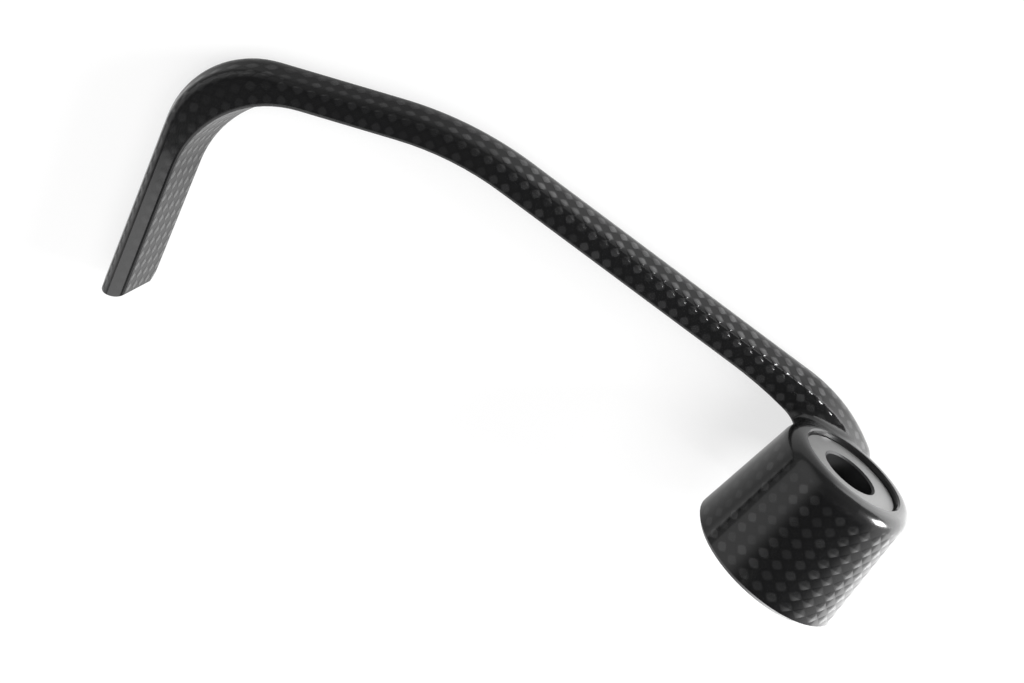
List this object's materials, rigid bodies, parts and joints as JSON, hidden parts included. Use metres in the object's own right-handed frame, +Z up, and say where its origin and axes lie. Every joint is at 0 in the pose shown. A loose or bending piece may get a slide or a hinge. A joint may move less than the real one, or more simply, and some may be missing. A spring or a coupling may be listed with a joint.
{
  "type": "brake lever guard",
  "caption": "Curved carbon-fibre guard arm for a motorbike's brake lever, moulded in one with a tapered bar-end boss that holds a light metal bush.",
  "frame": {"origin": "on the bore's axis, at the boss's flat end that meets the handlebar", "axes": "+X outward along the handlebar, in line with the bore but for its tilt of 5.2 degrees; +Y forward, along the arm; +Z up, square to the plane that the arm lies in"},
  "size_m": [0.0719, 0.1635, 0.0404],
  "materials": {
    "carbon": "gloss clear coat over woven carbon fibre",
    "bush": "satin"
  },
  "bodies": {
    "root": {"guard_body": "carbon", "bar_end_insert": "bush"}
  },
  "joints": []
}
